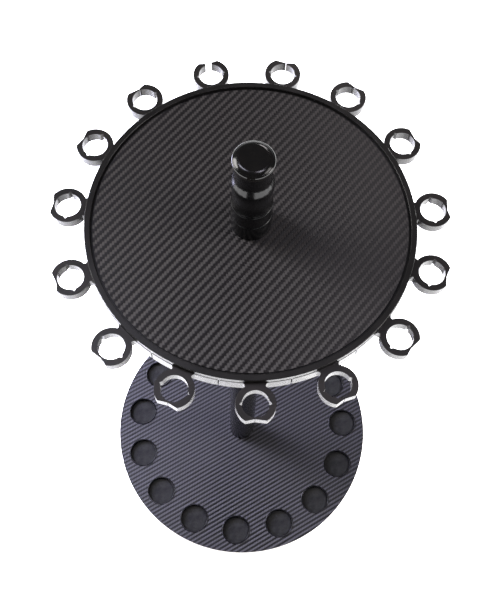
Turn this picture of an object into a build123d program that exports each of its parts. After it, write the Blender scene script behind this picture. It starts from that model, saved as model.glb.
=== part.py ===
from build123d import *
import os
from math import cos, radians, sin, tan

# Carousel rack for cues: fifteen felt-floored wells in a turning base and fifteen snap clips above
# them. Millimetres. +Z is up, and the origin is on the floor, on the axis of the pole.

# ---- driving dimensions -------------------------------------------------------------------------
PLACES = 15                 # cues that the rack holds
PITCH = 360 / PLACES        # degrees from one place to the next
CIRCLE_R = 150.0            # axes of the wells and of the clips lie on this circle
WELL_PHASE = 101.7          # direction of the first well, in degrees from +X
CLIP_PHASE = 106.1          # direction of the first clip: the head is screwed on a little turned
# Clips fitted this many degrees off their even place, and mouths this far off a clip's middle.
CLIP_SHIFT = {3: 0.6, 5: -1.6, 6: 0.6, 7: 0.8, 8: 0.7, 11: 1.3, 12: -0.7, 13: -1.6, 14: -0.7}
MOUTH_SHIFT = {2: 1.1, 4: 1.2, 5: 1.9, 7: 2.2, 8: 1.0, 9: 1.0, 11: -1.7, 12: -1.2, 15: 2.0}

FOOT_H = 5.0                # rubber feet
PLATE_T = 9.0               # foot plate
BEARING_H = 8.0             # turntable bearing
BOARD_T = 6.0               # plain board under the wells
WELL_BOARD_T = 9.0          # board that the wells are bored through
FILM_T = 0.4                # carbon-look film
BASE_R = 181.4              # base disc
BAND_T = 0.8                # edge band of the base
PLATE_R = 130.0             # foot plate

CUP_LIP_R = 20.2            # lip of a well's cup
CUP_R = 19.6                # outside of a cup
CUP_WALL = 0.9
LIP_T = 0.9
PAD_R = 18.3                # felt pad on the cup's floor
PAD_T = 4.0

POLE_R = 17.5
POLE_WALL = 2.0
HEAD_RISE = 664.6           # from the base's top face to the top of the rim
RIM_R = 134.0               # outside of the rim
RIM_LIP_R = 129.2           # inside of the rim's lip
PANEL_R = 127.4             # edge of the head's board and film; a groove runs between it and the lip
GROOVE_H = 3.4              # the groove's floor is this far below the rim's top
RIM_WALL = 2.0              # wall of the rim between the board and the clips' feet
RIM_LIP_H = 6.0             # lip of the rim over the clips' feet
RIM_H = 18.5                # whole height of the rim
RECESS = 2.0                # the panel lies this far below the rim's top

CLIP_OUTER_R = 15.5
CLIP_BORE_R = 10.5
CLIP_T = 9.0                # thickness of a clip's ring
CLIP_NECK_W = 16.0
CLIP_FOOT_R = 134.2         # outside of a clip's foot, a little proud of the rim
CLIP_FOOT_SPAN = 23.8       # degrees that a foot covers
CLIP_SLIT = 0.35
CLIP_OPEN_SLIT = 5.2        # slit of the one clip whose jaws have sprung open
SPRUNG_CLIP = 1
CLIP_FLAT = 13.2            # from the bore's axis to the flats at the mouth
MOUTH_DIP = 1.3             # depth of the shallow V between the two flats
NOTCH_TIP_R = 12.3          # tips of the two flex notches in the bore's sides
NOTCH_HALF_W = 1.5          # half the width of a notch where it leaves the bore

HANDLE_R = 16.4
HANDLE_H = 98.0             # handle above the panel

# ---- heights worked out from them ---------------------------------------------------------------
PLATE_Z = FOOT_H
BEARING_Z = PLATE_Z + PLATE_T
BOARD_Z = BEARING_Z + BEARING_H
WELL_Z = BOARD_Z + BOARD_T
WELL_TOP_Z = WELL_Z + WELL_BOARD_T
BASE_TOP_Z = WELL_TOP_Z + FILM_T
RIM_TOP_Z = BASE_TOP_Z + HEAD_RISE
RIM_Z = RIM_TOP_Z - RIM_H
PANEL_Z = RIM_TOP_Z - RECESS
BOARD_TOP_Z = PANEL_Z - FILM_T
CLIP_TOP_Z = RIM_TOP_Z - RIM_LIP_H

# ---- bearing, screws and inner metalwork --------------------------------------------------------
BALL_R = 2.5
BALL_PATH_R = 59.0
BALLS = 24
BALL_PLAY = 0.15            # radial play between balls and races
RACE_GAP = 1.0              # each race stops this far from the ball circle
RACE_W = 11.0
RACE_LIFT = 0.5             # each race clears the board that the other is screwed to
RACE_SCREWS = 4
RACE_SCREW_R = 2.0
RACE_HEAD_R = 3.6           # countersunk heads of the race screws and the spreader screws
RACE_HEAD_H = 2.0
OUTER_PATH_R = BALL_PATH_R + 6.5    # circles that the race screws lie on
INNER_PATH_R = BALL_PATH_R - 6.5
OUTER_BITE = 6.5            # how deep the race screws go into the boards
INNER_BITE = 5.0
ACCESS_R = 6.0              # hole for the screwdriver that drives the inner race's screws
FEET = 4
FEET_PATH_R = 112.0
FOOT_R = 14.0
FOOT_SCREW_R = 1.75
FOOT_HEAD_R = 3.4
FOOT_HEAD_H = 1.8
FOOT_SEAT_Z = 1.8           # head of a foot's screw sits this far up in the rubber
FOOT_BITE = 5.0             # its length in the foot plate
SPREADER_R = 45.0
SPREADER_T = 3.0
SPREADER_SCREW_PATH = 34.0
SPREADER_BITE = 11.0
STUD_R = 4.0                # M8 bolt and M8 stud
STUD_BITE = 26.0            # length of the stud in the upper plug
WASHER_R = 18.0
WASHER_T = 2.0
BOLT_HEAD_R = 6.5
BOLT_HEAD_H = 5.0
BOLT_REACH = 24.0           # length of the bolt in the lower plug
PLUG_H = 32.0
CUP_FLOOR = 1.6
CLIP_SCREW_R = 1.25
CLIP_HEAD_R = 1.9
CLIP_HEAD_H = 1.5
CLIP_SCREW_BITE = 3.5       # length of a clip's screw in the rim
CLIP_SCREW_PATH = 131.8
CLIP_SCREW_TURN = 7.5       # degrees either side of the clip's own direction
INSERT_R = 6.0
INSERT_H = 26.0
FOOT_PIECE_H = 20.0         # foot piece of the handle, a little wider than the grip
FOOT_PIECE_R = 16.6
GRIP_BAND_H = 36.7          # top of the grip's plain band, where the fine groove is
BARREL_H = 62.0             # widest place of the barrel
SHOULDER_H = 67.0           # from here the barrel draws in to the neck
NECK_START_H = 72.5
NECK_H = 78.0               # slimmest place, under the cap
CAP_SEAT_H = 88.0           # the cap is seated at this height of the handle
NECK_R = 14.0               # grip's radius under the cap
CAP_BEAD_H = 94.6           # middle of the bead round the cap
CAP_BEAD_PATH = 14.0        # radius of the circle that the bead's middle lies on
CAP_BEAD_R = 2.0
CAP_TOP_R = 11.2            # flat top of the cap
SPIGOT_R = 5.0
SPIGOT_H = 9.0


# ---- small makers that several pieces share -----------------------------------------------------
def at(angle, radius, z=0.0):
    """Place on a circle about the pole, turned so that local +X points outward."""
    return Rot(0, 0, angle) * Pos(radius, 0, z)


def ring(inner, outer, z0, z1):
    """Plain ring or disc about the pole, from z0 to z1."""
    profile = Circle(outer)
    if inner > 0:
        profile = profile - Circle(inner)
    return Pos(0, 0, z0) * extrude(profile, z1 - z0)


def rod(radius, z0, z1):
    return ring(0, radius, z0, z1)


def turned(points):
    """Solid of revolution about the pole from (radius, height) corners."""
    corners = [(r, 0, z) for r, z in points]
    return revolve(make_face(Polyline(*corners, close=True)), Axis.Z)


def round_edges(solid, radius, z):
    """Rounds every circular edge that lies at one height."""
    found = [e for e in solid.edges() if abs(e.center().Z - z) < 1e-4 and e.bounding_box().size.Z < 1e-4]
    return fillet(found, radius)


def countersunk(radius, length, head_r, head_h):
    """Screw with its head's flat face at z = 0 and its shank pointing up."""
    shank = rod(radius, 0, length)
    head = Pos(0, 0, head_h / 2) * Cone(head_r, radius, head_h)
    slot = Box(head_r * 1.3, head_r * 0.25, head_h * 0.7)
    return shank + head - slot


def group(shapes):
    """Several separate solids kept as one piece of the list."""
    return Compound(children=[s for shape in shapes for s in shape.solids()])


def around(count, radius, phase, z, shape):
    """Copies of a shape on a circle, as separate solids."""
    return [at(phase + 360 / count * i, radius, z) * shape for i in range(count)]


# ---- ground side ---------------------------------------------------------------------------------
def rubber_feet():
    body = Pos(0, 0, FOOT_H / 2) * Cone(FOOT_R - 1.6, FOOT_R, FOOT_H)
    body -= rod(FOOT_HEAD_R + 0.8, 0, FOOT_SEAT_Z)
    body -= rod(FOOT_SCREW_R, 0, FOOT_H)
    body -= Pos(0, 0, FOOT_SEAT_Z + FOOT_HEAD_H / 2) * Cone(FOOT_HEAD_R, FOOT_SCREW_R, FOOT_HEAD_H)
    return group(around(FEET, FEET_PATH_R, 45, 0, body))


def foot_screws():
    screw = countersunk(FOOT_SCREW_R, FOOT_H - FOOT_SEAT_Z + FOOT_BITE, FOOT_HEAD_R, FOOT_HEAD_H)
    return group(around(FEET, FEET_PATH_R, 45, FOOT_SEAT_Z, screw))


def race_screw_spots(radius, phase):
    return [at(phase + 360 / RACE_SCREWS * i, radius) for i in range(RACE_SCREWS)]


def foot_plate():
    """Board on the floor side, with its edges eased and one hole to reach the inner race's screws."""
    plate = rod(PLATE_R, PLATE_Z, BEARING_Z)
    plate = round_edges(plate, 1.5, BEARING_Z)
    plate = round_edges(plate, 1.0, PLATE_Z)
    for i in range(FEET):
        plate -= at(45 + 360 / FEET * i, FEET_PATH_R) * rod(FOOT_SCREW_R, PLATE_Z, PLATE_Z + FOOT_BITE)
    for spot in race_screw_spots(OUTER_PATH_R, 0):
        plate -= spot * rod(RACE_SCREW_R, BEARING_Z - OUTER_BITE, BEARING_Z)
    return plate - at(45, INNER_PATH_R) * rod(ACCESS_R, PLATE_Z, BEARING_Z)


def race_groove():
    return Pos(0, 0, BEARING_Z + BEARING_H / 2) * Torus(BALL_PATH_R, BALL_R + BALL_PLAY)


def race_screw(length):
    return countersunk(RACE_SCREW_R, length, RACE_HEAD_R, RACE_HEAD_H)


def outer_race():
    low, high = BEARING_Z, BOARD_Z - RACE_LIFT
    inner = BALL_PATH_R + RACE_GAP
    race = ring(inner, inner + RACE_W, low, high) - race_groove()
    for spot in race_screw_spots(OUTER_PATH_R, 0):
        race -= spot * rod(RACE_SCREW_R, low, high)
        race -= spot * Pos(0, 0, high - RACE_HEAD_H / 2) * Cone(RACE_SCREW_R, RACE_HEAD_R, RACE_HEAD_H)
    return race


def outer_race_screws():
    high = BOARD_Z - RACE_LIFT
    screw = Pos(0, 0, high) * Rot(180, 0, 0) * race_screw(high - BEARING_Z + OUTER_BITE)
    return group([spot * screw for spot in race_screw_spots(OUTER_PATH_R, 0)])


# ---- bearing balls -------------------------------------------------------------------------------
def bearing_balls():
    return group(around(BALLS, BALL_PATH_R, 0, BEARING_Z + BEARING_H / 2, Sphere(BALL_R)))


def ball_cage():
    middle = BEARING_Z + BEARING_H / 2
    cage = ring(BALL_PATH_R - 0.6, BALL_PATH_R + 0.6, middle - 3.2, middle + 3.2)
    pocket = Rot(0, 90, 0) * Cylinder(BALL_R + BALL_PLAY, 6.0)
    for cut in around(BALLS, BALL_PATH_R, 0, middle, pocket):
        cage -= cut
    return cage


# ---- turning side, below -------------------------------------------------------------------------
def inner_race():
    low, high = BEARING_Z + RACE_LIFT, BOARD_Z
    outer = BALL_PATH_R - RACE_GAP
    race = ring(outer - RACE_W, outer, low, high) - race_groove()
    for spot in race_screw_spots(INNER_PATH_R, 45):
        race -= spot * rod(RACE_SCREW_R, low, high)
        race -= spot * Pos(0, 0, low + RACE_HEAD_H / 2) * Cone(RACE_HEAD_R, RACE_SCREW_R, RACE_HEAD_H)
    return race


def inner_race_screws():
    screw = Pos(0, 0, BEARING_Z + RACE_LIFT) * race_screw(BEARING_H - RACE_LIFT + INNER_BITE)
    return group([spot * screw for spot in race_screw_spots(INNER_PATH_R, 45)])


def base_board():
    board = rod(BASE_R - BAND_T, BOARD_Z, WELL_Z)
    board -= rod(STUD_R, BOARD_Z, WELL_Z)
    for spot in race_screw_spots(INNER_PATH_R, 45):
        board -= spot * rod(RACE_SCREW_R, BOARD_Z, BOARD_Z + INNER_BITE)
    return board


def well_spots():
    return [at(WELL_PHASE - PITCH * i, CIRCLE_R) for i in range(PLACES)]


def well_board():
    board = ring(POLE_R, BASE_R - BAND_T, WELL_Z, WELL_TOP_Z)
    for spot in well_spots():
        board -= spot * rod(CUP_R, WELL_Z, WELL_TOP_Z)
    return board


def base_film():
    film = ring(POLE_R, BASE_R, WELL_TOP_Z, BASE_TOP_Z)
    for spot in well_spots():
        film -= spot * rod(CUP_R, WELL_TOP_Z, BASE_TOP_Z)
    return film


def base_edge_band():
    return ring(BASE_R - BAND_T, BASE_R, BOARD_Z, WELL_TOP_Z)


def well_cup():
    """Moulded cup: floor, wall and a rounded lip that covers the edge of the film."""
    outside = rod(CUP_R, WELL_Z, BASE_TOP_Z) + rod(CUP_LIP_R, BASE_TOP_Z, BASE_TOP_Z + LIP_T)
    inside = rod(CUP_R - CUP_WALL, WELL_Z + CUP_FLOOR, BASE_TOP_Z + LIP_T)
    return round_edges(outside - inside, 0.4, BASE_TOP_Z + LIP_T)


def felt_pads():
    pad = rod(PAD_R, WELL_Z + CUP_FLOOR, WELL_Z + CUP_FLOOR + PAD_T)
    return group([spot * pad for spot in well_spots()])


# ---- pole ----------------------------------------------------------------------------------------
def spreader_z():
    return RIM_Z - SPREADER_T


def pole_tube():
    return ring(POLE_R - POLE_WALL, POLE_R, WELL_Z, spreader_z())


def pole_washer():
    return ring(STUD_R, WASHER_R, BOARD_Z - WASHER_T, BOARD_Z)


def pole_bolt():
    low = BOARD_Z - WASHER_T
    head = Pos(0, 0, low - BOLT_HEAD_H) * extrude(RegularPolygon(BOLT_HEAD_R, 6), BOLT_HEAD_H)
    head = chamfer(head.faces().sort_by(Axis.Z)[0].edges(), 0.5)
    return head + rod(STUD_R, low, WELL_Z + BOLT_REACH)


def pole_plug(z):
    """Drilled and tapped plug pressed into an end of the tube."""
    return ring(STUD_R, POLE_R - POLE_WALL, z, z + PLUG_H)


def lower_plug():
    return pole_plug(WELL_Z)


def upper_plug():
    return pole_plug(spreader_z() - PLUG_H)


def spreader_plate():
    plate = ring(STUD_R, SPREADER_R, spreader_z(), RIM_Z)
    for spot in race_screw_spots(SPREADER_SCREW_PATH, 45):
        plate -= spot * rod(RACE_SCREW_R, spreader_z(), RIM_Z)
        head = Pos(0, 0, spreader_z() + RACE_HEAD_H / 2) * Cone(RACE_HEAD_R, RACE_SCREW_R, RACE_HEAD_H)
        plate -= spot * head
    return plate


def spreader_screws():
    screw = Pos(0, 0, spreader_z()) * race_screw(SPREADER_T + SPREADER_BITE)
    return group([spot * screw for spot in race_screw_spots(SPREADER_SCREW_PATH, 45)])


# ---- head ----------------------------------------------------------------------------------------
def top_board():
    board = ring(STUD_R, PANEL_R, RIM_Z, BOARD_TOP_Z)
    for spot in race_screw_spots(SPREADER_SCREW_PATH, 45):
        board -= spot * rod(RACE_SCREW_R, RIM_Z, RIM_Z + SPREADER_BITE)
    return board


def top_film():
    return ring(STUD_R, PANEL_R, BOARD_TOP_Z, PANEL_Z)


def clip_angle(number):
    return CLIP_PHASE - PITCH * (number - 1)


def clip_screw_spots(number):
    return [at(clip_angle(number) + side * CLIP_SCREW_TURN, CLIP_SCREW_PATH) for side in (-1, 1)]


def rim_ring():
    """Black ring: a wall round the board, and a lip with eased edges over the clips' feet."""
    section = [
        (PANEL_R, RIM_Z),
        (PANEL_R + RIM_WALL, RIM_Z),
        (PANEL_R + RIM_WALL, CLIP_TOP_Z),
        (RIM_R, CLIP_TOP_Z),
        (RIM_R, RIM_TOP_Z),
        (RIM_LIP_R, RIM_TOP_Z),
        (RIM_LIP_R, RIM_TOP_Z - GROOVE_H),
        (PANEL_R, RIM_TOP_Z - GROOVE_H),
    ]
    rim = round_edges(turned(section), 0.5, RIM_TOP_Z)
    for number in range(1, PLACES + 1):
        for spot in clip_screw_spots(number):
            rim -= spot * rod(CLIP_SCREW_R, CLIP_TOP_Z, CLIP_TOP_Z + CLIP_SCREW_BITE)
    return rim


def clip_foot_face():
    """Curved foot of a clip, seen from above, for a clip that points along +X, its ends rounded."""
    reach = CLIP_FOOT_R * 1.2
    half = reach * tan(radians(CLIP_FOOT_SPAN / 2))
    wedge = make_face(Polyline((0, 0), (reach, -half), (reach, half), close=True))
    foot = (Circle(CLIP_FOOT_R) - Circle(PANEL_R + RIM_WALL)) & wedge
    ends = [v for v in foot.vertices() if (v.X**2 + v.Y**2) ** 0.5 > CLIP_FOOT_R - 0.01]
    return fillet(ends, 1.0)


def clip_ring_face(slit, middle):
    """Ring of a clip about its own bore, with its slit and the two flats of its mouth towards +X."""
    corner = (CLIP_OUTER_R**2 - CLIP_FLAT**2) ** 0.5
    far = CLIP_OUTER_R * 1.5
    mouth = Polyline(
        (CLIP_FLAT - MOUTH_DIP, middle), (CLIP_FLAT, corner), (CLIP_FLAT, far), (far, far),
        (far, -far), (CLIP_FLAT, -far), (CLIP_FLAT, -corner), close=True,
    )
    cut = Pos(CLIP_OUTER_R, middle) * Rectangle(2 * CLIP_OUTER_R, slit)
    return Circle(CLIP_OUTER_R) - make_face(mouth) - cut


def clip_bore_face():
    """Bore of a clip with a V notch at each side, where the jaws flex."""
    bore = Circle(CLIP_BORE_R)
    root = 2 * CLIP_BORE_R - NOTCH_TIP_R
    half = 2 * NOTCH_HALF_W
    for side in (-1, 1):
        notch = Polyline((-half, side * root), (0, side * NOTCH_TIP_R), (half, side * root), close=True)
        bore += make_face(notch)
    return bore


def snap_clip(number):
    """One moulded clip: curved foot, short neck, ring with a slit mouth and two flex notches."""
    slit = CLIP_OPEN_SLIT if number == SPRUNG_CLIP else CLIP_SLIT
    shift = CLIP_SHIFT.get(number, 0.0)
    foot = Rot(0, 0, -shift) * clip_foot_face()
    neck_root = CLIP_FOOT_R - 1.0
    outline = foot + Pos((neck_root + CIRCLE_R) / 2, 0) * Rectangle(CIRCLE_R - neck_root, CLIP_NECK_W)
    roots = [
        v for v in outline.vertices()
        if abs(abs(v.Y) - CLIP_NECK_W / 2) < 0.01 and abs((v.X**2 + v.Y**2) ** 0.5 - CLIP_FOOT_R) < 0.05
    ]
    outline = fillet(roots, 2.6)
    face = outline + Pos(CIRCLE_R, 0) * clip_ring_face(slit, -MOUTH_SHIFT.get(number, 0.0))
    face -= Pos(CIRCLE_R, 0) * clip_bore_face()
    body = Pos(0, 0, CLIP_TOP_Z - CLIP_T) * extrude(face, CLIP_T)
    flats = body.edges().filter_by_position(Axis.Z, CLIP_TOP_Z - 0.01, CLIP_TOP_Z + 0.01)
    eased = [e for e in flats if (e.center().X**2 + e.center().Y**2) ** 0.5 > CLIP_FOOT_R + 1.0]
    body = chamfer(eased, 0.12)
    body += Pos(0, 0, RIM_Z) * extrude(foot, CLIP_TOP_Z - CLIP_T - RIM_Z)
    body = Rot(0, 0, clip_angle(number) + shift) * body
    for spot in clip_screw_spots(number):
        body -= spot * rod(CLIP_SCREW_R, RIM_Z, CLIP_TOP_Z)
        body -= spot * Pos(0, 0, RIM_Z + CLIP_HEAD_H / 2) * Cone(CLIP_HEAD_R, CLIP_SCREW_R, CLIP_HEAD_H)
    return body


def clip_screws():
    length = CLIP_TOP_Z + CLIP_SCREW_BITE - RIM_Z
    screw = Pos(0, 0, RIM_Z) * countersunk(CLIP_SCREW_R, length, CLIP_HEAD_R, CLIP_HEAD_H)
    return group([spot * screw for n in range(1, PLACES + 1) for spot in clip_screw_spots(n)])


# ---- handle --------------------------------------------------------------------------------------
def tie_stud():
    return rod(STUD_R, spreader_z() - STUD_BITE, PANEL_Z + INSERT_H - 4.0)


def handle_insert():
    return ring(STUD_R, INSERT_R, PANEL_Z, PANEL_Z + INSERT_H)


def handle_foot():
    foot = ring(INSERT_R, FOOT_PIECE_R, PANEL_Z, PANEL_Z + FOOT_PIECE_H)
    rims = [e for e in foot.edges() if e.bounding_box().size.X > 2 * INSERT_R + 1]
    return fillet([e for e in rims if e.center().Z > PANEL_Z + 1], 1.3)


def handle_grip():
    """Turned grip: a plain band, a fine groove, a barrel, a shoulder and the neck under the cap."""
    low, band, top = PANEL_Z + FOOT_PIECE_H, PANEL_Z + GRIP_BAND_H, PANEL_Z + CAP_SEAT_H
    depth = 1.0
    corners = [
        (0, low), (HANDLE_R, low), (HANDLE_R, band - depth), (HANDLE_R - depth, band),
        (HANDLE_R, band + depth),
    ]
    barrel = Spline(
        (HANDLE_R, 0, band + depth), (HANDLE_R + 0.1, 0, PANEL_Z + BARREL_H),
        (HANDLE_R - 0.3, 0, PANEL_Z + SHOULDER_H), (NECK_R, 0, PANEL_Z + NECK_START_H),
        (NECK_R - 0.4, 0, PANEL_Z + NECK_H), (NECK_R, 0, top),
    )
    turnings = [Line((r0, 0, z0), (r1, 0, z1)) for (r0, z0), (r1, z1) in zip(corners, corners[1:])]
    closing = Polyline((NECK_R, 0, top), (0, 0, top), (0, 0, low))
    grip = revolve(make_face(Wire([*turnings, barrel, *closing.edges()])), Axis.Z)
    grip = round_edges(grip, 1.2, low)
    grip = round_edges(grip, 0.9, band - depth)
    grip -= rod(INSERT_R, low, PANEL_Z + INSERT_H)
    return grip - rod(SPIGOT_R, top - SPIGOT_H - 1.0, top)


def handle_cap():
    """Cap with a spigot: a bead round its widest place, and a low shoulder up to the flat top."""
    seat, middle, top = PANEL_Z + CAP_SEAT_H, PANEL_Z + CAP_BEAD_H, PANEL_Z + HANDLE_H

    def on_bead(angle):
        return CAP_BEAD_PATH + CAP_BEAD_R * cos(radians(angle)), 0, middle + CAP_BEAD_R * sin(radians(angle))

    bead = ThreePointArc(on_bead(-72), on_bead(0), on_bead(75))
    flare = Line((NECK_R, 0, seat), on_bead(-72))
    halfway = (on_bead(75)[0] + CAP_TOP_R) / 2, 0, (on_bead(75)[2] + top) / 2 + 0.2
    shoulder = ThreePointArc(on_bead(75), halfway, (CAP_TOP_R, 0, top))
    closing = Polyline((CAP_TOP_R, 0, top), (0, 0, top), (0, 0, seat), (NECK_R, 0, seat))
    cap = revolve(make_face(Wire([flare, bead, shoulder, *closing.edges()])), Axis.Z)
    return cap + rod(SPIGOT_R, seat - SPIGOT_H, seat)


# ---- pieces, in the order in which they are put together -----------------------------------------
PIECES = {
    "rubber_feet": rubber_feet,
    "foot_screws": foot_screws,
    "foot_plate": foot_plate,
    "outer_race": outer_race,
    "outer_race_screws": outer_race_screws,
    "bearing_balls": bearing_balls,
    "ball_cage": ball_cage,
    "inner_race": inner_race,
    "inner_race_screws": inner_race_screws,
    "base_board": base_board,
    "well_board": well_board,
    "base_film": base_film,
    "base_edge_band": base_edge_band,
    "felt_pads": felt_pads,
    "pole_washer": pole_washer,
    "pole_bolt": pole_bolt,
    "lower_plug": lower_plug,
    "pole_tube": pole_tube,
    "upper_plug": upper_plug,
    "spreader_plate": spreader_plate,
    "spreader_screws": spreader_screws,
    "top_board": top_board,
    "top_film": top_film,
    "rim_ring": rim_ring,
    "clip_screws": clip_screws,
    "tie_stud": tie_stud,
    "handle_insert": handle_insert,
    "handle_foot": handle_foot,
    "handle_grip": handle_grip,
    "handle_cap": handle_cap,
}

os.makedirs("parts", exist_ok=True)
for name, make in PIECES.items():
    export_step(make(), f"parts/{name}.step")

cup = well_cup()
for index, spot in enumerate(well_spots()):
    export_step(spot * cup, f"parts/well_cup_{index + 1:02d}.step")

for number in range(1, PLACES + 1):
    export_step(snap_clip(number), f"parts/snap_clip_{number:02d}.step")
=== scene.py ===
import math

import bmesh
import bpy
from mathutils import Matrix, Vector, noise


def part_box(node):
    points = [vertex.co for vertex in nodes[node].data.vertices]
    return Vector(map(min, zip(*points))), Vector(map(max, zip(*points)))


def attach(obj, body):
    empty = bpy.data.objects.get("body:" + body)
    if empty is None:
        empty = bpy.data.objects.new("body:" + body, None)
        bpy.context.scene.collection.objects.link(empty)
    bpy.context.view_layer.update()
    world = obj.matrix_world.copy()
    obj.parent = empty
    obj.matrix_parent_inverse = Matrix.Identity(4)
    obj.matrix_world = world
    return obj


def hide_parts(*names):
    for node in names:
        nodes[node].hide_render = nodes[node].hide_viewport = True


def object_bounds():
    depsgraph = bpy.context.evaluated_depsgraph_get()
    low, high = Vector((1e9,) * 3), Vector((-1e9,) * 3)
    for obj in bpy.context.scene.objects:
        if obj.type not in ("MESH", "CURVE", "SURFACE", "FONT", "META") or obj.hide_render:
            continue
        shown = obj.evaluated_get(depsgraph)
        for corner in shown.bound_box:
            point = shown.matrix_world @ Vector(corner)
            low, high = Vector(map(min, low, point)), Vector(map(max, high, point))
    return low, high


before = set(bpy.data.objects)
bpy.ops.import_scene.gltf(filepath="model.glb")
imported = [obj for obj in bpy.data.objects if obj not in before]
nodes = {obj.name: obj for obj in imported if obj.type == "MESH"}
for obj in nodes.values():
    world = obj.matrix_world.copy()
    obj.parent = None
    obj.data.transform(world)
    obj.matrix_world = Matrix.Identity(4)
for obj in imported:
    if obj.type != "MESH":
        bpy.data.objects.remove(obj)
cad_low, cad_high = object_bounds()

# ---- The studio -----------------------------------------------------------------------------------
# The rack stands on a white sheet lit so strongly that it shows no shadow. Walls are pale, the
# ceiling is dim, and the person at the camera leaves a dark place between two bright walls.
MM = 0.001
scene = bpy.context.scene
scene.view_settings.view_transform = "Standard"
scene.view_settings.look = "None"


def linear(hex_colour):
    """Linear RGBA from an sRGB hex colour."""
    channels = [int(hex_colour[i:i + 2], 16) / 255 for i in (1, 3, 5)]
    return tuple(c / 12.92 if c <= 0.04045 else ((c + 0.055) / 1.055) ** 2.4 for c in channels) + (1.0,)


def add(tree, kind, inputs=None, **settings):
    """Adds one node to a tree, with its settings, its values and the links that come into it."""
    made = tree.nodes.new("ShaderNode" + kind)
    for name, value in settings.items():
        setattr(made, name, value)
    for socket, value in (inputs or {}).items():
        if isinstance(value, bpy.types.NodeSocket):
            tree.links.new(value, made.inputs[socket])
        else:
            made.inputs[socket].default_value = value
    return made


def material(name):
    """A new material and its empty node tree."""
    made = bpy.data.materials.new(name)
    made.use_nodes = True
    made.node_tree.nodes.clear()
    return made, made.node_tree


def finish_with(tree, shader):
    add(tree, "OutputMaterial", {"Surface": shader.outputs[0]})


# White studio paper: matt, faintly mottled, and lit past white.
paper, tree = material("studio_paper_matt")
place = add(tree, "TexCoord")
mottle = add(tree, "TexNoise", {"Vector": place.outputs["Object"], "Scale": 3.0, "Detail": 3.0})
shade = add(tree, "ValToRGB", {"Fac": mottle.outputs["Fac"]})
shade.color_ramp.elements[0].color = linear("#ececec")
shade.color_ramp.elements[1].color = linear("#f3f3f3")
finish_with(tree, add(tree, "BsdfPrincipled", {
    "Base Color": shade.outputs["Color"], "Roughness": 0.9,
    "Emission Color": (1.0, 1.0, 1.0, 1.0), "Emission Strength": 2.7,
}))
sheet = bpy.data.meshes.new("studio_floor")
half = 9.0
sheet_gap = 0.2 * MM
corners = [(-half, -half, 0), (half, -half, 0), (half, half, 0), (-half, half, 0)]
sheet.from_pydata(corners, [], [(0, 1, 2, 3)])
sheet.materials.append(paper)
floor = bpy.data.objects.new("studio_floor", sheet)
floor.location = (0, 0, cad_low.z - sheet_gap)
scene.collection.objects.link(floor)

world = bpy.data.worlds.new("studio_walls")
world.use_nodes = True
tree = world.node_tree
tree.nodes.clear()
place = add(tree, "TexCoord")
split = add(tree, "SeparateXYZ", {"Vector": place.outputs["Generated"]})
height = add(tree, "ValToRGB", {"Fac": split.outputs["Z"]})
height.color_ramp.elements[0].position = 0.07
height.color_ramp.elements[0].color = linear("#e6e7ea")
height.color_ramp.elements[1].position = 0.32
height.color_ramp.elements[1].color = linear("#44464b")
height.color_ramp.elements.new(0.14).color = linear("#96989e")
add(tree, "OutputWorld", {"Surface": add(tree, "Background", {
    "Color": height.outputs["Color"], "Strength": 1.0,
}).outputs[0]})
scene.world = world


def soft_light(name, colour, power, size, position, target):
    """Rectangular soft light that looks at a point and that no camera sees."""
    lamp = bpy.data.lights.new(name, "AREA")
    lamp.shape = "RECTANGLE"
    lamp.size, lamp.size_y = size
    lamp.energy = power
    lamp.color = linear(colour)[:3]
    made = bpy.data.objects.new(name, lamp)
    made.location = position
    made.rotation_euler = (Vector(target) - Vector(position)).to_track_quat("-Z", "Y").to_euler()
    made.visible_camera = False
    scene.collection.objects.link(made)


handle_rise = 96 * MM
rim_top = cad_high.z - handle_rise
over_cap = rim_top + 1.2
cap_place = (0, 0, rim_top + 0.09)
soft_light("window_left", "#fbf8f6", 34.0, (1.1, 1.1), (-1.75, 0.50, rim_top + 1.15), (0, 0, rim_top))
soft_light("window_right", "#fffaf8", 8.0, (0.9, 0.9), (1.60, -0.30, rim_top + 1.3), (0, 0, rim_top))
soft_light("near_right", "#fffaf8", 3.0, (0.4, 0.4), (0.95, -0.10, rim_top + 0.45), (0, 0, rim_top))
soft_light("back_right", "#fbf4f6", 2.0, (0.3, 0.3), (0.30, 1.20, rim_top + 0.8), (0.05, 0, rim_top))
soft_light("low_left", "#d6d6ff", 10.0, (0.5, 0.3), (-0.66, 0.30, 0.42), (-0.14, 0, 0.03))
soft_light("low_back_left", "#dfe2ff", 0.8, (0.25, 0.25), (-0.30, 0.65, 0.50), (-0.12, 0, 0.03))
soft_light("box_left", "#eceaff", 2.0, (0.14, 0.42), (-0.43, 0.20, over_cap), cap_place)
soft_light("box_right", "#f4eeff", 1.0, (0.12, 0.26), (0.29, 0.02, over_cap), cap_place)

# The person at the camera: a dark cloth that shows only as a gap between bright reflections.
cloth, tree = material("studio_cloth_black")
place = add(tree, "TexCoord")
weave = add(tree, "TexNoise", {"Vector": place.outputs["Object"], "Scale": 40.0, "Detail": 2.0})
shade = add(tree, "ValToRGB", {"Fac": weave.outputs["Fac"]})
shade.color_ramp.elements[0].color = linear("#101010")
shade.color_ramp.elements[1].color = linear("#1c1c1c")
finish_with(tree, add(tree, "BsdfPrincipled", {"Base Color": shade.outputs["Color"], "Roughness": 0.9}))
sheet = bpy.data.meshes.new("studio_cloth")
from_x, to_x, front, from_z, to_z = -0.42, 0.16, -0.95, 0.1, 1.7
corners = [(from_x, front, from_z), (to_x, front, from_z), (to_x, front, to_z), (from_x, front, to_z)]
sheet.from_pydata(corners, [], [(0, 1, 2, 3)])
sheet.materials.append(cloth)
screen = bpy.data.objects.new("studio_cloth", sheet)
screen.visible_camera = False
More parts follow.
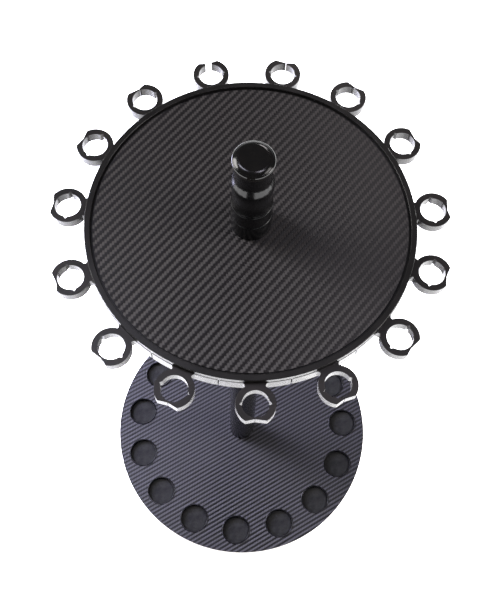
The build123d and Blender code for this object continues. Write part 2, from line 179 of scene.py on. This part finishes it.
scene.collection.objects.link(screen)

# ---- Camera ---------------------------------------------------------------------------------------
# It looks steeply down on the rack from the front. Its place is given in radii of the clip circle,
# from the middle of the rim's top.
CLIP_CIRCLE = 150 * MM
aside, away, below = 0.0168, 4.787, 0.4448
elevation, roll = math.radians(67.81), math.radians(2.96)
back = Vector((0, -math.cos(elevation), math.sin(elevation)))
right = Vector((1, 0, 0))
up = back.cross(right)
turn = Matrix((right, up, back)).transposed() @ Matrix.Rotation(roll, 3, "Z")
camera = bpy.data.cameras.new("camera")
camera.sensor_width = 36.0
camera.lens = 52.9046
camera.clip_start, camera.clip_end = 0.01, 60
eye = bpy.data.objects.new("camera", camera)
spot = (Vector((aside, 0, 0)) + back * away - up * below) * CLIP_CIRCLE
eye.matrix_world = Matrix.Translation(spot + Vector((0, 0, rim_top))) @ turn.to_4x4()
scene.collection.objects.link(eye)
scene.camera = eye

# ---- Feet and foot plate --------------------------------------------------------------------------
# Four moulded rubber feet are screwed under a round board that is sprayed black, as the head's board
# is. They are the only pieces that touch the floor, and the overhanging base hides them from above.


def wear(made, *names):
    """Gives CAD pieces a material in place of their own."""
    for name in names:
        mesh = nodes[name].data
        mesh.materials.clear()
        mesh.materials.append(made)


rubber, tree = material("rubber_moulded")  # dull, with a fine pebbled skin that scatters all gloss
place = add(tree, "TexCoord")
pebble = add(tree, "TexNoise", {"Vector": place.outputs["Object"], "Scale": 1 / (0.8 * MM), "Detail": 2.0})
tone = add(tree, "ValToRGB", {"Fac": pebble.outputs["Fac"]})
tone.color_ramp.elements[0].color = linear("#1b1b1c")
tone.color_ramp.elements[1].color = linear("#262627")
bump = add(tree, "Bump", {"Height": pebble.outputs["Fac"], "Strength": 0.5, "Distance": 0.05 * MM})
finish_with(tree, add(tree, "BsdfPrincipled", {
    "Base Color": tone.outputs["Color"], "Roughness": 0.75, "Normal": bump.outputs["Normal"],
}))
wear(rubber, "rubber_feet")

painted, tree = material("fibreboard_sprayed_black")  # low sheen, with the orange peel of thin spray paint
place = add(tree, "TexCoord")
peel = add(tree, "TexNoise", {"Vector": place.outputs["Object"], "Scale": 1 / (2.5 * MM), "Detail": 1.0})
tone = add(tree, "ValToRGB", {"Fac": peel.outputs["Fac"]})
tone.color_ramp.elements[0].color = linear("#141416")
tone.color_ramp.elements[1].color = linear("#1c1c1f")
rough = add(tree, "MapRange", {"Value": peel.outputs["Fac"], "To Min": 0.42, "To Max": 0.55})
bump = add(tree, "Bump", {"Height": peel.outputs["Fac"], "Strength": 0.25, "Distance": 0.05 * MM})
finish_with(tree, add(tree, "BsdfPrincipled", {
    "Base Color": tone.outputs["Color"], "Roughness": rough.outputs[0], "Normal": bump.outputs["Normal"],
}))
wear(painted, "foot_plate", "top_board")

# ---- Screws, bolt and stud ------------------------------------------------------------------------
# Plain steel fasteners, rolled and zinc plated. Only their heads show, from below.
zinc, tree = material("steel_zinc_plated")  # pale metal whose plating is cloudy in small patches
place = add(tree, "TexCoord")
cloud = add(tree, "TexNoise", {"Vector": place.outputs["Object"], "Scale": 1 / (3.0 * MM), "Detail": 3.0})
tone = add(tree, "ValToRGB", {"Fac": cloud.outputs["Fac"]})
tone.color_ramp.elements[0].color = linear("#a9aaad")
tone.color_ramp.elements[1].color = linear("#c6c6c4")
rough = add(tree, "MapRange", {"Value": cloud.outputs["Fac"], "To Min": 0.28, "To Max": 0.42})
finish_with(tree, add(tree, "BsdfPrincipled", {
    "Base Color": tone.outputs["Color"], "Metallic": 1.0, "Roughness": rough.outputs[0],
}))
wear(zinc, "foot_screws", "outer_race_screws", "inner_race_screws", "spreader_screws", "clip_screws",
     "pole_washer", "pole_bolt", "tie_stud")

# ---- Turntable bearing ----------------------------------------------------------------------------
# Two turned aluminium races, one screwed to the foot plate and one to the base, run on a ring of
# steel balls that a nylon cage keeps apart.
turned, tree = material("aluminium_turned")  # bright, with the fine circles that the lathe tool leaves
place = add(tree, "TexCoord")
split = add(tree, "SeparateXYZ", {"Vector": place.outputs["Object"]})
flat = add(tree, "CombineXYZ", {"X": split.outputs["X"], "Y": split.outputs["Y"]})
radius = add(tree, "VectorMath", {0: flat.outputs[0]}, operation="LENGTH")
feed = 0.5 * MM  # a lathe feeds about 0.1 mm a turn: drawn five times as coarse, so that it can show
lines = add(tree, "Math", {0: radius.outputs["Value"], 1: 2 * math.pi / feed}, operation="MULTIPLY")
wave = add(tree, "Math", {0: lines.outputs[0]}, operation="SINE")
rough = add(tree, "MapRange", {"Value": wave.outputs[0], "From Min": -1.0, "To Min": 0.26, "To Max": 0.36})
tone = add(tree, "ValToRGB", {"Fac": rough.outputs[0]})
tone.color_ramp.elements[0].color = linear("#c9cbce")
tone.color_ramp.elements[1].color = linear("#dddee0")
bump = add(tree, "Bump", {"Height": wave.outputs[0], "Strength": 0.2, "Distance": 0.02 * MM})
finish_with(tree, add(tree, "BsdfPrincipled", {
    "Base Color": tone.outputs["Color"], "Metallic": 1.0, "Roughness": rough.outputs[0],
    "Normal": bump.outputs["Normal"],
}))
wear(turned, "outer_race", "inner_race", "lower_plug", "upper_plug")

polished_steel, tree = material("steel_ball_polished")  # mirror bright, a little duller where it has rolled
place = add(tree, "TexCoord")
scuff = add(tree, "TexNoise", {"Vector": place.outputs["Object"], "Scale": 1 / (0.6 * MM), "Detail": 2.0})
tone = add(tree, "ValToRGB", {"Fac": scuff.outputs["Fac"]})
tone.color_ramp.elements[0].color = linear("#cfcfd1")
tone.color_ramp.elements[1].color = linear("#dededf")
rough = add(tree, "MapRange", {"Value": scuff.outputs["Fac"], "To Min": 0.06, "To Max": 0.18})
finish_with(tree, add(tree, "BsdfPrincipled", {
    "Base Color": tone.outputs["Color"], "Metallic": 1.0, "Roughness": rough.outputs[0],
}))
wear(polished_steel, "bearing_balls")

nylon, tree = material("nylon_moulded")  # milky and waxy, with light going a little way in
place = add(tree, "TexCoord")
haze = add(tree, "TexNoise", {"Vector": place.outputs["Object"], "Scale": 1 / (4.0 * MM), "Detail": 2.0})
tone = add(tree, "ValToRGB", {"Fac": haze.outputs["Fac"]})
tone.color_ramp.elements[0].color = linear("#e4e1d8")
tone.color_ramp.elements[1].color = linear("#efede6")
finish_with(tree, add(tree, "BsdfPrincipled", {
    "Base Color": tone.outputs["Color"], "Roughness": 0.45, "IOR": 1.53,
    "Subsurface Weight": 0.2, "Subsurface Scale": 0.002,
}))
wear(nylon, "ball_cage")

# ---- Boards ---------------------------------------------------------------------------------------
# Two round fibreboards are glued into the base: a plain one under the wells, and the one that the
# wells are bored through. Film covers the top and the underside is bare.
board, tree = material("fibreboard_sawn")  # even brown, felted from wood dust with darker specks
place = add(tree, "TexCoord")
dust = add(tree, "TexNoise", {"Vector": place.outputs["Object"], "Scale": 1 / (1.2 * MM), "Detail": 4.0})
drift = add(tree, "TexNoise", {"Vector": place.outputs["Object"], "Scale": 1 / (40 * MM), "Detail": 2.0})
mixed = add(tree, "Math", {0: dust.outputs["Fac"], 1: drift.outputs["Fac"]}, operation="MULTIPLY")
tone = add(tree, "ValToRGB", {"Fac": mixed.outputs[0]})
tone.color_ramp.elements[0].position = 0.12
tone.color_ramp.elements[0].color = linear("#7d6247")
tone.color_ramp.elements[1].position = 0.42
tone.color_ramp.elements[1].color = linear("#a98a66")
bump = add(tree, "Bump", {"Height": dust.outputs["Fac"], "Strength": 0.4, "Distance": 0.08 * MM})
finish_with(tree, add(tree, "BsdfPrincipled", {
    "Base Color": tone.outputs["Color"], "Roughness": 0.85, "Normal": bump.outputs["Normal"],
}))
wear(board, "base_board", "well_board")

# ---- Carbon-look film -----------------------------------------------------------------------------
# Vinyl film with a two-by-two twill pressed into it, laid by hand on the base and on the head. Each
# float is a short bar with hair-fine ridges along it, so it shines for light from across the ridges.


def twill_film(name, tow, turn_deg, warp_lit_hex, weft_shaded_hex, roughness, sheen):
    """Vinyl pressed into bars, warp bars painted pale as lit and weft bars dark as shaded: tow is a bar's
    width, turn_deg how far the bars turn.
    """
    made, tree = material(name)
    place = add(tree, "TexCoord")
    laid = add(tree, "Mapping", {
        "Vector": place.outputs["Object"], "Rotation": (0, 0, math.radians(-turn_deg)),
        "Scale": (1 / tow, 1 / tow, 1 / tow),
    })
    split = add(tree, "SeparateXYZ", {"Vector": laid.outputs[0]})
    across, along = split.outputs["X"], split.outputs["Y"]

    def sum_of(first, second, operation="ADD"):
        """The sum of two sockets or numbers, or what another operation makes of them."""
        return add(tree, "Math", {0: first, 1: second}, operation=operation).outputs[0]

    column = add(tree, "Math", {0: across}, operation="FLOOR").outputs[0]
    row = add(tree, "Math", {0: along}, operation="FLOOR").outputs[0]
    step = sum_of(sum_of(column, row, "SUBTRACT"), 4.0, "FLOORED_MODULO")
    warp_up = sum_of(step, 1.5, "LESS_THAN")

    def crown(side, length):
        """Height of a bar: round across its width, dipping at both ends of its two-cell length."""
        part = add(tree, "Math", {0: side}, operation="FRACT").outputs[0]
        off = sum_of(sum_of(part, 0.5, "SUBTRACT"), 2.0, "MULTIPLY")
        round_part = sum_of(1.0, sum_of(off, off, "MULTIPLY"), "SUBTRACT")
        end = sum_of(sum_of(length, 1.0, "SUBTRACT"), 4.0, "POWER")
        return sum_of(sum_of(round_part, 0.5, "POWER"), sum_of(1.0, end, "SUBTRACT"), "MULTIPLY")

    warp_run = sum_of(sum_of(sum_of(along, column, "SUBTRACT"), 1.0), 4.0, "FLOORED_MODULO")
    weft_run = sum_of(sum_of(sum_of(across, row, "SUBTRACT"), 2.0, "SUBTRACT"), 4.0, "FLOORED_MODULO")
    height = add(tree, "Mix", {
        0: warp_up, 2: crown(along, weft_run), 3: crown(across, warp_run),
    }, data_type="FLOAT").outputs[0]

    fibres = []
    for stretch in ((9.0, 0.9, 1.0), (0.9, 9.0, 1.0)):  # ridges drawn four times as coarse as the real ones
        line = add(tree, "Mapping", {"Vector": laid.outputs[0], "Scale": stretch})
        fibres.append(add(tree, "TexNoise", {"Vector": line.outputs[0], "Scale": 1.0, "Detail": 1.0}))
    fibre = add(tree, "Mix", {
        0: warp_up, 2: fibres[1].outputs["Fac"], 3: fibres[0].outputs["Fac"],
    }, data_type="FLOAT").outputs[0]

    # Painted sheen: warp bars take the pale colour as if lit by the key light, weft bars the dark one as if
    # in shade.
    painted_sheen_tone = add(tree, "Mix", {
        0: warp_up, 6: linear(weft_shaded_hex), 7: linear(warp_lit_hex),
    }, data_type="RGBA").outputs[2]
    # Painted shade: each bar's colour darkens toward its sides and its dipping ends, in the creases between
    # bars.
    crease_shade = add(tree, "MapRange", {"Value": height, "To Min": 0.45, "To Max": 1.0}).outputs[0]
    grain = add(tree, "MapRange", {
        "Value": fibre, "From Min": 0.3, "From Max": 0.7, "To Min": 0.8, "To Max": 1.2,
    })
    level = sum_of(crease_shade, grain.outputs[0], "MULTIPLY")
    colour = add(tree, "VectorMath", {0: painted_sheen_tone, 3: level}, operation="SCALE").outputs[0]
    rough = add(tree, "MapRange", {
        "Value": fibre, "From Min": 0.3, "From Max": 0.7,
        "To Min": roughness - 0.05, "To Max": roughness + 0.05,
    }).outputs[0]
    bump = add(tree, "Bump", {"Height": height, "Strength": 0.7, "Distance": 0.10 * MM})
    fine = add(tree, "Bump", {
        "Height": fibre, "Strength": 0.3, "Distance": 0.03 * MM, "Normal": bump.outputs["Normal"],
    })
    across_bar = add(tree, "CombineXYZ", {
        "X": -math.sin(math.radians(turn_deg)), "Y": math.cos(math.radians(turn_deg)), "Z": 0.0,
    })
    spread_way = add(tree, "VectorTransform", {"Vector": across_bar.outputs[0]}, convert_from="OBJECT",
                     convert_to="WORLD")
    quarter = sum_of(warp_up, 0.25, "MULTIPLY")
    finish_with(tree, add(tree, "BsdfPrincipled", {
        "Base Color": colour, "Roughness": rough, "IOR": 1.53, "Anisotropic": 0.8,
        "Anisotropic Rotation": quarter, "Tangent": spread_way.outputs[0],
        "Normal": fine.outputs["Normal"], "Coat Weight": sheen, "Coat Roughness": 0.3,
    }))
    return made


# The pale and dark colours of each film are painted sheen on the warp bars and painted shade on the weft
# bars.
base_vinyl = twill_film("vinyl_twill_embossed_base", 1.89 * MM, -12.0, "#56555e", "#0c0c0e", 0.42, 0.15)
wear(base_vinyl, "base_film")
head_vinyl = twill_film("vinyl_twill_embossed_head", 1.93 * MM, 7.0, "#464242", "#1e1b1b", 0.42, 0.1)
wear(head_vinyl, "top_film")

# ---- Edge band and wells --------------------------------------------------------------------------
# A glossy plastic band is glued round the base, and each well has a moulded cup of the same plastic
# pushed in from above, its lip over the edge of the film.
gloss, tree = material("abs_moulded_gloss")  # black and shiny, with slow waves where it shrank in the mould
place = add(tree, "TexCoord")
sink = add(tree, "TexNoise", {"Vector": place.outputs["Object"], "Scale": 1 / (12 * MM), "Detail": 1.0})
dull = add(tree, "TexNoise", {"Vector": place.outputs["Object"], "Scale": 1 / (1.5 * MM), "Detail": 3.0})
tone = add(tree, "ValToRGB", {"Fac": dull.outputs["Fac"]})
tone.color_ramp.elements[0].color = linear("#17171a")
tone.color_ramp.elements[1].color = linear("#222226")
rough = add(tree, "MapRange", {"Value": dull.outputs["Fac"], "To Min": 0.16, "To Max": 0.30})
bump = add(tree, "Bump", {"Height": sink.outputs["Fac"], "Strength": 0.15, "Distance": 0.2 * MM})
finish_with(tree, add(tree, "BsdfPrincipled", {
    "Base Color": tone.outputs["Color"], "Roughness": rough.outputs[0], "IOR": 1.54,
    "Normal": bump.outputs["Normal"],
}))
cups = sorted(name for name in nodes if name.startswith("well_cup_"))
wear(gloss, "base_edge_band", *cups)

# ---- Felt pads ------------------------------------------------------------------------------------
# A disc of needle felt is punched out for each well and pressed onto the cup's floor. Its edge is
# cut soft and rounds over, and its face is uneven and hairy.
felt, tree = material("wool_felt_needled")  # soft charcoal, with tangled fibres that catch light at the rim
place = add(tree, "TexCoord")
tangle = add(tree, "TexNoise", {
    "Vector": place.outputs["Object"], "Scale": 1 / (1.6 * MM), "Detail": 5.0, "Roughness": 0.7,
    "Distortion": 2.0,
})
patch = add(tree, "TexNoise", {"Vector": place.outputs["Object"], "Scale": 1 / (9 * MM), "Detail": 2.0})
mixed = add(tree, "Math", {0: tangle.outputs["Fac"], 1: patch.outputs["Fac"]}, operation="MULTIPLY")
tone = add(tree, "ValToRGB", {"Fac": mixed.outputs[0]})
tone.color_ramp.elements[0].position = 0.14
tone.color_ramp.elements[0].color = linear("#1e1e1f")
tone.color_ramp.elements[1].position = 0.38
tone.color_ramp.elements[1].color = linear("#343433")
bump = add(tree, "Bump", {"Height": tangle.outputs["Fac"], "Strength": 0.8, "Distance": 0.25 * MM})
finish_with(tree, add(tree, "BsdfPrincipled", {
    "Base Color": tone.outputs["Color"], "Roughness": 0.95, "IOR": 1.45, "Sheen Weight": 0.25,
    "Sheen Roughness": 0.5, "Normal": bump.outputs["Normal"],
}))
pads_low, pads_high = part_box("felt_pads")
PAD_R = 18.2 * MM
PAD_T = pads_high.z - pads_low.z


def felt_disc(seed):
    """Punched felt: a crowned face over a rounded, slightly wandering edge, and a flat back."""
    made = bmesh.new()
    segments, face_rings, edge_rings = 72, 15, 5
    soft, back_edge, back_z = 0.9 * MM, 0.3 * MM, 0.05 * MM
    slack = 0.995
    flat_r = PAD_R - soft
    profile = [(flat_r * (i + 1) / face_rings, PAD_T) for i in range(face_rings)]
    for i in range(edge_rings):
        lean = math.pi / 2 * (i + 1) / edge_rings
        profile.append((flat_r + soft * math.sin(lean), PAD_T - soft + soft * math.cos(lean)))
    profile += [(PAD_R, 0.4 * MM), (PAD_R - back_edge, back_z)]
    rings = []
    for radius, z in profile:
        ring = []
        for k in range(segments):
            angle = 2 * math.pi * k / segments
            x, y = radius * math.cos(angle), radius * math.sin(angle)
            place_in_felt = Vector((x, y, seed * 0.1))
            loft = noise.noise(place_in_felt / (3.5 * MM)) * 0.14 * MM
            fuzz = noise.noise(place_in_felt / (1.1 * MM)) * 0.07 * MM
            crown = 0.25 * MM * (1 - (radius / PAD_R) ** 2)
            lift = (loft + fuzz - 0.35 * MM + crown) * min(1.0, z / PAD_T)
            wander = 1 + 0.004 * noise.noise(Vector((math.cos(angle) * 2, math.sin(angle) * 2, seed)))
            ring.append(made.verts.new((x * wander * slack, y * wander * slack, z + lift)))
        rings.append(ring)
    top = made.verts.new((0, 0, PAD_T - 0.1 * MM))
    back = made.verts.new((0, 0, back_z))
    for k in range(segments):
        after = (k + 1) % segments
        made.faces.new((top, rings[0][k], rings[0][after]))
        made.faces.new((back, rings[-1][after], rings[-1][k]))
        for inner, outer in zip(rings, rings[1:]):
            made.faces.new((inner[k], outer[k], outer[after], inner[after]))
    mesh = bpy.data.meshes.new("felt_disc")
    bmesh.ops.recalc_face_normals(made, faces=made.faces)
    made.to_mesh(mesh)
    made.free()
    mesh.polygons.foreach_set("use_smooth", [True] * len(mesh.polygons))
    return mesh


for number, cup in enumerate(cups, 1):
    low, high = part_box(cup)
    pad = bpy.data.objects.new(f"felt_disc_{number:02d}", felt_disc(number))
    pad.location = ((low.x + high.x) / 2, (low.y + high.y) / 2, pads_low.z)
    pad.data.materials.append(felt)
    scene.collection.objects.link(pad)
    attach(pad, "carousel")
    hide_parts("felt_pads")

# ---- Pole -----------------------------------------------------------------------------------------
# A steel tube, enamelled gloss black, stands on the lower board with a tapped plug in each end. A
# steel disc on top of it, screwed up into the head's board, spreads the load.
enamel, tree = material("steel_enamelled_gloss")  # deep black under a clear skin with slight orange peel
place = add(tree, "TexCoord")
peel = add(tree, "TexNoise", {"Vector": place.outputs["Object"], "Scale": 1 / (3.0 * MM), "Detail": 1.0})
dust = add(tree, "TexNoise", {"Vector": place.outputs["Object"], "Scale": 1 / (0.9 * MM), "Detail": 2.0})
tone = add(tree, "ValToRGB", {"Fac": dust.outputs["Fac"]})
tone.color_ramp.elements[0].color = linear("#0d0d0f")
tone.color_ramp.elements[1].color = linear("#151517")
rough = add(tree, "MapRange", {"Value": dust.outputs["Fac"], "To Min": 0.12, "To Max": 0.22})
bump = add(tree, "Bump", {"Height": peel.outputs["Fac"], "Strength": 0.2, "Distance": 0.04 * MM})
finish_with(tree, add(tree, "BsdfPrincipled", {
    "Base Color": tone.outputs["Color"], "Roughness": rough.outputs[0], "IOR": 1.52,
    "Normal": bump.outputs["Normal"],
}))
wear(enamel, "pole_tube", "spreader_plate")

# ---- Rim and clips --------------------------------------------------------------------------------
# The rim is a moulded ring round the head's board. Fifteen moulded clips are screwed up into it from
# below. Their flat faces are left satin, and their walls, drawn from the mould, are shiny.


def moulded_satin(name, dark_hex, pale_hex, face_rough, wall_rough):
    """Black plastic, satin on level faces and glossy on upright walls, which have faint level lines."""
    made, tree = material(name)
    place = add(tree, "TexCoord")
    facing = add(tree, "SeparateXYZ", {"Vector": place.outputs["Normal"]})
    level = add(tree, "Math", {0: facing.outputs["Z"]}, operation="ABSOLUTE")
    is_face = add(tree, "MapRange", {"Value": level.outputs[0], "From Min": 0.3, "From Max": 0.95})
    where = place.outputs["Object"]
    skin = add(tree, "TexNoise", {"Vector": where, "Scale": 1 / (0.9 * MM), "Detail": 3.0})
    hand = add(tree, "TexNoise", {"Vector": where, "Scale": 1 / (22 * MM), "Detail": 3.0})
    tone = add(tree, "ValToRGB", {"Fac": hand.outputs["Fac"]})
    tone.color_ramp.elements[0].position = 0.3
    tone.color_ramp.elements[0].color = linear(dark_hex)
    tone.color_ramp.elements[1].position = 0.75
    tone.color_ramp.elements[1].color = linear(pale_hex)
    rough = add(tree, "Mix", {0: is_face.outputs[0], 2: wall_rough, 3: face_rough}, data_type="FLOAT")
    spread = add(tree, "MapRange", {"Value": hand.outputs["Fac"], "To Min": 0.85, "To Max": 1.15})
    rough = add(tree, "Math", {0: rough.outputs[0], 1: spread.outputs[0]}, operation="MULTIPLY")
    split = add(tree, "SeparateXYZ", {"Vector": where})
    cut = 2.9 * MM  # the mould is cut in level steps far finer than this: drawn coarse, so that they show
    tall = add(tree, "Math", {0: split.outputs["Z"], 1: 2 * math.pi / cut}, operation="MULTIPLY")
    wave = add(tree, "Math", {0: tall.outputs[0]}, operation="SINE")
    rise = add(tree, "Math", {0: wave.outputs[0]}, operation="ABSOLUTE")
    lines = add(tree, "Math", {0: rise.outputs[0], 1: 0.5}, operation="POWER")
    grain = add(tree, "Bump", {"Height": skin.outputs["Fac"], "Strength": 0.15, "Distance": 0.03 * MM})
    draw = add(tree, "Bump", {
        "Height": lines.outputs[0], "Strength": 0.8, "Distance": 0.12 * MM,
        "Normal": grain.outputs["Normal"],
    })
    finish_with(tree, add(tree, "BsdfPrincipled", {
        "Base Color": tone.outputs["Color"], "Roughness": rough.outputs[0], "IOR": 1.48,
        "Normal": draw.outputs["Normal"],
    }))
    return made


rim_plastic = moulded_satin("abs_rim_satin", "#1a1918", "#242221", 0.30, 0.12)
wear(rim_plastic, "rim_ring")
clip_plastic = moulded_satin("abs_clip_satin", "#211f1e", "#2f2b2a", 0.36, 0.10)
clips = sorted(name for name in nodes if name.startswith("snap_clip_"))
wear(clip_plastic, *clips)

# ---- Handle ---------------------------------------------------------------------------------------
# A carry handle turned from hard plastic and polished: a foot ring, a barrel grip and a flared cap,
# screwed onto the stud with a brass insert inside.
polished, tree = material("phenolic_turned_polished")  # deep black with a soft shine and faint turning lines
place = add(tree, "TexCoord")
where = add(tree, "SeparateXYZ", {"Vector": place.outputs["Object"]})
turning = 0.9 * MM  # turning lines are about 0.2 mm apart: drawn coarser, so that they can show
tall = add(tree, "Math", {0: where.outputs["Z"], 1: 2 * math.pi / turning}, operation="MULTIPLY")
lathe = add(tree, "Math", {0: tall.outputs[0]}, operation="SINE")
smear = add(tree, "TexNoise", {"Vector": place.outputs["Object"], "Scale": 1 / (14 * MM), "Detail": 3.0})
tone = add(tree, "ValToRGB", {"Fac": smear.outputs["Fac"]})
tone.color_ramp.elements[0].color = linear("#09090a")
tone.color_ramp.elements[1].color = linear("#0f0f10")
rough = add(tree, "MapRange", {"Value": smear.outputs["Fac"], "To Min": 0.14, "To Max": 0.28})
bump = add(tree, "Bump", {"Height": lathe.outputs[0], "Strength": 0.04, "Distance": 0.005 * MM})
finish_with(tree, add(tree, "BsdfPrincipled", {
    "Base Color": tone.outputs["Color"], "Roughness": rough.outputs[0], "IOR": 1.48,
    "Normal": bump.outputs["Normal"],
}))
wear(polished, "handle_foot", "handle_grip")

cap, tree = material("phenolic_cap_polished")  # the same black, warmer and rubbed duller on its flat top
place = add(tree, "TexCoord")
rub = add(tree, "TexNoise", {"Vector": place.outputs["Object"], "Scale": 1 / (5 * MM), "Detail": 4.0})
tone = add(tree, "ValToRGB", {"Fac": rub.outputs["Fac"]})
tone.color_ramp.elements[0].color = linear("#0d0c0b")
tone.color_ramp.elements[1].color = linear("#151310")
facing = add(tree, "SeparateXYZ", {"Vector": place.outputs["Normal"]})
top_face = add(tree, "MapRange", {
    "Value": facing.outputs["Z"], "From Min": 0.8, "From Max": 0.99, "To Min": 0.06, "To Max": 0.18,
})
rough = add(tree, "Math", {
    0: rub.outputs["Fac"], 1: 0.06, 2: top_face.outputs[0],
}, operation="MULTIPLY_ADD")
finish_with(tree, add(tree, "BsdfPrincipled", {
    "Base Color": tone.outputs["Color"], "Roughness": rough.outputs[0], "IOR": 1.6,
}))
wear(cap, "handle_cap")

brass, tree = material("brass_turned")  # yellow metal, dulled by handling, with tool circles
place = add(tree, "TexCoord")
dull = add(tree, "TexNoise", {"Vector": place.outputs["Object"], "Scale": 1 / (2 * MM), "Detail": 3.0})
tone = add(tree, "ValToRGB", {"Fac": dull.outputs["Fac"]})
tone.color_ramp.elements[0].color = linear("#a8853f")
tone.color_ramp.elements[1].color = linear("#d0ac5e")
rough = add(tree, "MapRange", {"Value": dull.outputs["Fac"], "To Min": 0.22, "To Max": 0.4})
finish_with(tree, add(tree, "BsdfPrincipled", {
    "Base Color": tone.outputs["Color"], "Metallic": 1.0, "Roughness": rough.outputs[0],
}))
wear(brass, "handle_insert")
